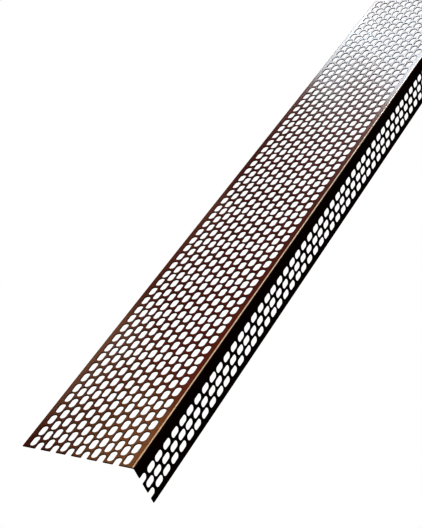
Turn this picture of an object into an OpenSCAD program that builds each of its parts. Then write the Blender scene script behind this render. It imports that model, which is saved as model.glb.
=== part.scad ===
// Ventilation strip: perforated sheet metal, coated and folded once into a wide and a narrow flange.
// It stands as a ridge on its two free edges, with the fold on top and its length along Y.

/* [Strip] */
// Length of the strip
length = 600; // [100:5:650]
// Width of the wide flange, from the outer corner of the fold
wide_flange = 90; // [88:1:120]
// Width of the narrow flange, from the outer corner of the fold
narrow_flange = 30; // [28:1:60]
// How far the wide flange curls down from flat, at its free edge
curl = 0.4; // [0.2:0.1:2]
// Thickness of the coated sheet
sheet = 0.6; // [0.4:0.1:1.2]
// Angle that the fold turns the sheet through
bend_angle = 82.5; // [60:0.5:100]
// Radius inside the fold
bend_radius = 0.8; // [0.4:0.1:2]

/* [Slots] */
// Width of a slot, across the strip
slot_w = 5.1; // [3:0.1:5.5]
// Length of a slot, along the strip, over its round ends
slot_l = 8.7; // [6:0.1:8.8]
// Spacing along a row of the slots that one press stroke makes
slot_pitch = 10.6; // [9.6:0.05:12]
// Spacing along a row from one press stroke to the next
stroke_gap = 9.55; // [9.3:0.05:12]
// Slots that one press stroke makes in a row
stroke_slots = 4; // [1:1:8]
// Spacing of the rows
row_pitch = 6.3; // [6.2:0.05:6.5]
// How far every second row runs ahead of its neighbours
stagger = 6.4; // [0:0.1:9]

/* [Rows] */
// Rows in the wide flange
wide_rows = 13; // [1:1:13]
// Rows in the narrow flange
narrow_rows = 3; // [1:1:3]
// Free edge of the wide flange to its first row
edge_margin = 6.4; // [4:0.1:7]
// Outer corner of the fold to the first row of the narrow flange
fold_margin = 11; // [6:0.1:12]
// Near end of the strip to the first whole slots
end_margin = 5.9; // [5:0.1:6]

/* [Hidden] */
$fn = 48;
coat = "#4b2716";
fold_steps = 12;

// The fold ends this far short of the outer corner, on both flanges
outer_radius = bend_radius + sheet;
setback = outer_radius * tan(bend_angle / 2);

// Middle of the land between rows r - 1 and r of the wide flange
function land_x(r) = edge_margin - wide_flange + (r - 0.5) * row_pitch;

// How far the wide flange has curled down at a place x
function sag(x) = curl * pow((x - land_x(wide_rows - 1)) / (wide_flange + land_x(wide_rows - 1)), 2);

// The lean of the wide flange that brings both free edges down to the same level
lean = atan2(
    narrow_flange * sin(bend_angle) - sheet * (1 - cos(bend_angle)) - curl,
    wide_flange + narrow_flange * cos(bend_angle) - sheet * sin(bend_angle)
);
corner_x = (wide_flange * cos(lean) - curl * sin(lean) - narrow_flange * cos(bend_angle - lean)) / 2;
corner_z = wide_flange * sin(lean) + (sheet + curl) * cos(lean);

// Place of slot i along a row: whole pitches, less what is lost at each change of stroke
function slot_y(i) = end_margin + i * slot_pitch
    - (slot_pitch - stroke_gap) * floor((i + stroke_slots - 1) / stroke_slots);

// Points of one side of the fold, from the wide flange to the narrow one
function fold_arc(radius) = [
    for (step = [0 : fold_steps])
        let (turn = step / fold_steps * bend_angle)
            [radius * sin(turn) - setback, radius * cos(turn) - outer_radius]
];

// A point of the narrow flange, out from the corner and in from the outer face
function narrow_point(out, in) = [
    out * cos(bend_angle) - in * sin(bend_angle),
    -out * sin(bend_angle) - in * cos(bend_angle)
];

// Folded sheet before punching, its outer corner on the Y axis and the wide flange level.
// The curl is taken up in the lands, so every row of slots lies in a flat of its own.
module blank() {
    inner_arc = fold_arc(bend_radius);
    curl_x = [-wide_flange, for (r = [1 : 1 : wide_rows - 1]) land_x(r)];
    translate([0, length, 0])
        rotate([90, 0, 0])
            linear_extrude(length)
                polygon([
                    for (x = curl_x) [x, -sag(x)],
                    each fold_arc(outer_radius),
                    narrow_point(narrow_flange, 0),
                    narrow_point(narrow_flange, sheet),
                    for (step = [fold_steps : -1 : 0]) inner_arc[step],
                    for (i = [wide_rows - 1 : -1 : 0]) [curl_x[i], -sag(curl_x[i]) - sheet]
                ]);
}

// Slot with round ends, lying along the strip
module slot() {
    square([slot_w, slot_l - slot_w], center = true);
    translate([0, (slot_l - slot_w) / 2]) circle(d = slot_w);
    translate([0, (slot_w - slot_l) / 2]) circle(d = slot_w);
}

// Punches for the rows of one level flange. Row numbers count from the free edge
// of the wide flange, and odd rows run ahead.
module punches(rows, first_x, first_number) {
    translate([0, 0, -2 * sheet - curl])
        linear_extrude(3 * sheet + curl)
            for (r = [0 : rows - 1], i = [-1 : ceil(length / stroke_gap)]) {
                y = slot_y(i) + (r + first_number) % 2 * stagger;
                if (y > -slot_l / 2 && y < length + slot_l / 2)
                    translate([first_x + r * row_pitch, y]) slot();
            }
}

module vent_strip() {
    color(coat)
        translate([corner_x, -length / 2, corner_z])
            rotate([0, -lean, 0])
                difference() {
                    blank();
                    punches(wide_rows, edge_margin - wide_flange, 0);
                    rotate([0, bend_angle, 0])
                        punches(narrow_rows, fold_margin, wide_rows);
                }
}

vent_strip();
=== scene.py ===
import math

import bpy
from mathutils import Matrix, Vector

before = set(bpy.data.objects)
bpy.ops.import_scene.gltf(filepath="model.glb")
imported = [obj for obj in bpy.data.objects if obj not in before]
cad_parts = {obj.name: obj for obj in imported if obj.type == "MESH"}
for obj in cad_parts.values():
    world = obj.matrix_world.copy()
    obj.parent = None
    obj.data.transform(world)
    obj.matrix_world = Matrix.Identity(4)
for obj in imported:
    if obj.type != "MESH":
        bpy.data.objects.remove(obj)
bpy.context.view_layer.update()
bpy.ops.object.select_all(action="DESELECT")


# Camera. It looks down on the strip from its near end, on the side of the narrow
# flange, so that the length runs away from it and out at the top right.
bpy.ops.object.camera_add(location=(0.306593, -0.684643, 0.639668))
camera = bpy.context.object
camera.name = "camera"
view_right = Vector((0.88465666, 0.46577895, -0.02079788))
view_up = Vector((-0.3068313, 0.61519339, 0.72621735))
view_back = Vector((0.35105148, -0.63607158, 0.6871505))
camera.rotation_euler = Matrix((view_right, view_up, view_back)).transposed().to_euler()
camera.rotation_euler.rotate_axis("X", -0.00028)
camera.rotation_euler.rotate_axis("Y", -0.00018)
camera.data.lens = 84.82
bpy.context.scene.camera = camera
bpy.context.scene.view_settings.view_transform = "Standard"
bpy.context.scene.view_settings.gamma = 0.7


# The strip: 0.6 mm sheet metal, punched in the flat with staggered rows of slots,
# folded once and coated dark brown. It stands on its two free edges.
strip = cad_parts["vent_strip"]


class Socket:
    """An output of a shader node, on which Python's operators add Math nodes."""

    def __init__(self, graph, link):
        self.graph = graph
        self.link = link

    def math(self, operation, *values):
        return self.graph.add("ShaderNodeMath", {"operation": operation}, values)["Value"]

    def __add__(self, other):
        return self.math("ADD", self, other)

    def __sub__(self, other):
        return self.math("SUBTRACT", self, other)

    def __rsub__(self, other):
        return self.math("SUBTRACT", other, self)

    def __mul__(self, other):
        return self.math("MULTIPLY", self, other)

    def __abs__(self):
        return self.math("ABSOLUTE", self)

    __radd__ = __add__
    __rmul__ = __mul__

    def clamped(self):
        """The value held between 0 and 1, for a mask."""
        return self.graph.add("ShaderNodeClamp", {}, {"Value": self})["Result"]


class Outputs:
    """The outputs of one node, by name or number."""

    def __init__(self, graph, node):
        self.graph = graph
        self.node = node

    def __getitem__(self, name):
        return Socket(self.graph, self.node.outputs[name])


class Graph:
    """The node tree of one material, emptied and ready for its nodes."""

    def __init__(self, name):
        self.material = bpy.data.materials.new(name)
        self.material.use_nodes = True
        self.tree = self.material.node_tree
        self.tree.nodes.clear()

    def add(self, kind, settings, values):
        """A node: its settings come first, then the values or links of its sockets."""
        node = self.tree.nodes.new(kind)
        for key, value in settings.items():
            if key == "stops":
                ramp = node.color_ramp
                while len(ramp.elements) < len(value):
                    ramp.elements.new(0.5)
                for element, (place, color) in zip(ramp.elements, value):
                    element.position = place
                    element.color = (*color, 1)
            else:
                setattr(node, key, value)
        if not isinstance(values, dict):
            values = dict(enumerate(values))
        for key, value in values.items():
            if isinstance(value, Socket):
                self.tree.links.new(value.link, node.inputs[key])
            else:
                node.inputs[key].default_value = value
        return Outputs(self, node)

    def blend(self, mask, low, high):
        """The color low where the mask is 0, and high where it is 1."""
        return self.add("ShaderNodeMix", {"data_type": "RGBA"}, {"Factor": mask, 6: low, 7: high})[2]


coat = Graph("brown_coating")
place = coat.add("ShaderNodeTexCoord", {}, {})["Object"]
cloud = coat.add("ShaderNodeTexNoise", {}, {"Vector": place, "Scale": 35.0, "Detail": 4.0})["Fac"]
peel = coat.add("ShaderNodeTexNoise", {}, {"Vector": place, "Scale": 900.0, "Detail": 2.0})["Fac"]
streak_place = coat.add("ShaderNodeMapping", {}, {"Vector": place, "Scale": (1.0, 0.06, 1.0)})["Vector"]
streak = coat.add("ShaderNodeTexNoise", {}, {"Vector": streak_place, "Scale": 700.0, "Detail": 3.0})["Fac"]

# Along the start of the fold a pale gold line is painted into the colour: a painted highlight, where the
# curved fold catches the light.
lean = math.radians(17.163)
corner_x, corner_z = 0.0366779, 0.0275137
from_fold = 0.00125 + coat.add(
    "ShaderNodeVectorMath", {"operation": "DOT_PRODUCT"}, {0: place, 1: (math.cos(lean), 0, math.sin(lean))}
)["Value"] - (corner_x * math.cos(lean) + corner_z * math.sin(lean))
outside = coat.add(
    "ShaderNodeVectorMath", {"operation": "DOT_PRODUCT"}, {0: place, 1: (-math.sin(lean), 0, math.cos(lean))}
)["Value"] - (corner_z * math.cos(lean) - corner_x * math.sin(lean) - 0.0004)
painted_highlight = ((0.0007 - abs(from_fold)) * 4000).clamped() * (outside * 100000).clamped()

# The punch rolls the lands down towards each slot, and the rounded normals follow that. The lands between
# slots are painted darker, a painted shade, and the slot rims violet-dark, a painted dark reflection; both
# also get a thinner coat.
rounded = coat.add("ShaderNodeBevel", {"samples": 6}, {"Radius": 0.0009})["Normal"]
flat = coat.add("ShaderNodeNewGeometry", {}, {})["True Normal"]
straight = coat.add("ShaderNodeVectorMath", {"operation": "DOT_PRODUCT"}, {0: rounded, 1: flat})["Value"]
turned = (1 - straight) * ((abs(from_fold) - 0.0018) * 3000).clamped()
land_shade = (turned * 25).clamped()
rim_shade = (turned * 8 - 0.7).clamped()

field = coat.add(
    "ShaderNodeValToRGB",
    {"stops": [(0.3, (0.18, 0.027, 0.0105)), (0.7, (0.22, 0.033, 0.0135))]},
    {"Fac": cloud},
)["Color"]
# Painted shade: the lands between slots are darker.
tint = coat.blend(land_shade, field, (0.08, 0.008, 0.008, 1))
# Painted dark reflection: the slot rims are violet-dark.
tint = coat.blend(rim_shade, tint, (0.05, 0.006, 0.16, 1))
# The pale gold painted highlight along the start of the fold, streaked with noise.
tint = coat.blend(painted_highlight * (streak * 0.4 + 0.8).clamped(), tint, (1.0, 0.88, 0.66, 1))
skin = coat.add(
    "ShaderNodeBump",
    {},
    {"Strength": 0.05, "Distance": 0.0002, "Height": peel, "Normal": rounded},
)["Normal"]
paint = coat.add(
    "ShaderNodeBsdfPrincipled",
    {},
    {
        "Base Color": tint,
        "Metallic": 0.4,
        "Roughness": cloud * 0.06 + 0.35,
        "Specular IOR Level": 0.1,
        "Normal": skin,
        "Coat Weight": 1 - land_shade * 0.6 - rim_shade * 0.35,
        "Coat Roughness": 0.14,
    },
)["BSDF"]
coat.add("ShaderNodeOutputMaterial", {}, {"Surface": paint})
strip.data.materials.clear()
strip.data.materials.append(coat.material)


# The stage: a plain white sweep under and around the strip. It shows in the picture
# and throws no light of its own on the strip.
white = Graph("white_floor")
glow = white.add("ShaderNodeEmission", {}, {"Color": (1, 1, 1, 1), "Strength": 1.0})["Emission"]
white.add("ShaderNodeOutputMaterial", {}, {"Surface": glow})
bpy.ops.mesh.primitive_plane_add(size=60)
floor = bpy.context.object
floor.name = "floor"
bpy.ops.mesh.primitive_uv_sphere_add(segments=48, ring_count=24, radius=30)
backdrop = bpy.context.object
backdrop.name = "backdrop"
for surface in (floor, backdrop):
    surface.data.materials.append(white.material)
    for ray in ("diffuse", "glossy", "transmission", "shadow"):
        setattr(surface, "visible_" + ray, False)

world = bpy.data.worlds.new("room")
world.use_nodes = True
world.node_tree.nodes["Background"].inputs["Color"].default_value = (1, 1, 1, 1)
world.node_tree.nodes["Background"].inputs["Strength"].default_value = 0.012
bpy.context.scene.world = world


def panel(name, azimuth, elevation, size, radiance, color=(1, 1, 1)):
    """A soft light panel 3 m from the strip. Azimuth runs from +Y towards -X."""
    a, e = math.radians(azimuth), math.radians(elevation)
    out = Vector((-math.sin(a) * math.cos(e), math.cos(a) * math.cos(e), math.sin(e)))
    bpy.ops.object.light_add(type="AREA", location=out * 3)
    light = bpy.context.object
    light.name = name
    light.rotation_euler = out.to_track_quat("Z", "Y").to_euler()
    light.data.shape = "RECTANGLE"
    light.data.size, light.data.size_y = size
    light.data.energy = math.pi * size[0] * size[1] * radiance
    light.data.color = color
    light.visible_camera = False


panel("window", 30, 19, (0.314, 0.63), 8.6, (0.75, 0.92, 1.0))
panel("window_side", 34.6, 14, (0.21, 0.3), 8.0, (0.72, 0.93, 1.0))
panel("window_foot", 33, 10, (0.63, 0.314), 4.3, (1.0, 0.9, 0.82))
panel("near_low", 53, 16, (0.79, 0.314), 2.0, (1.0, 0.6, 0.4))
panel("near_high", 62, 30, (0.52, 0.42), 3.6, (1.0, 0.64, 0.26))
panel("near_left", 59, 21.6, (0.42, 0.13), 3.4, (1.0, 0.75, 0.48))
panel("warm_arc", 45, 28, (1.05, 0.314), 1.0, (1.0, 0.2, 0.08))
panel("softbox", 34, 46, (2.18, 1.06), 2.9)
panel("right_fill", -90, 36, (2.2, 0.5), 0.5, (0.6, 0.85, 1.0))
panel("front_fill", 208, 36, (0.9, 0.6), 0.8, (0.6, 0.85, 1.0))
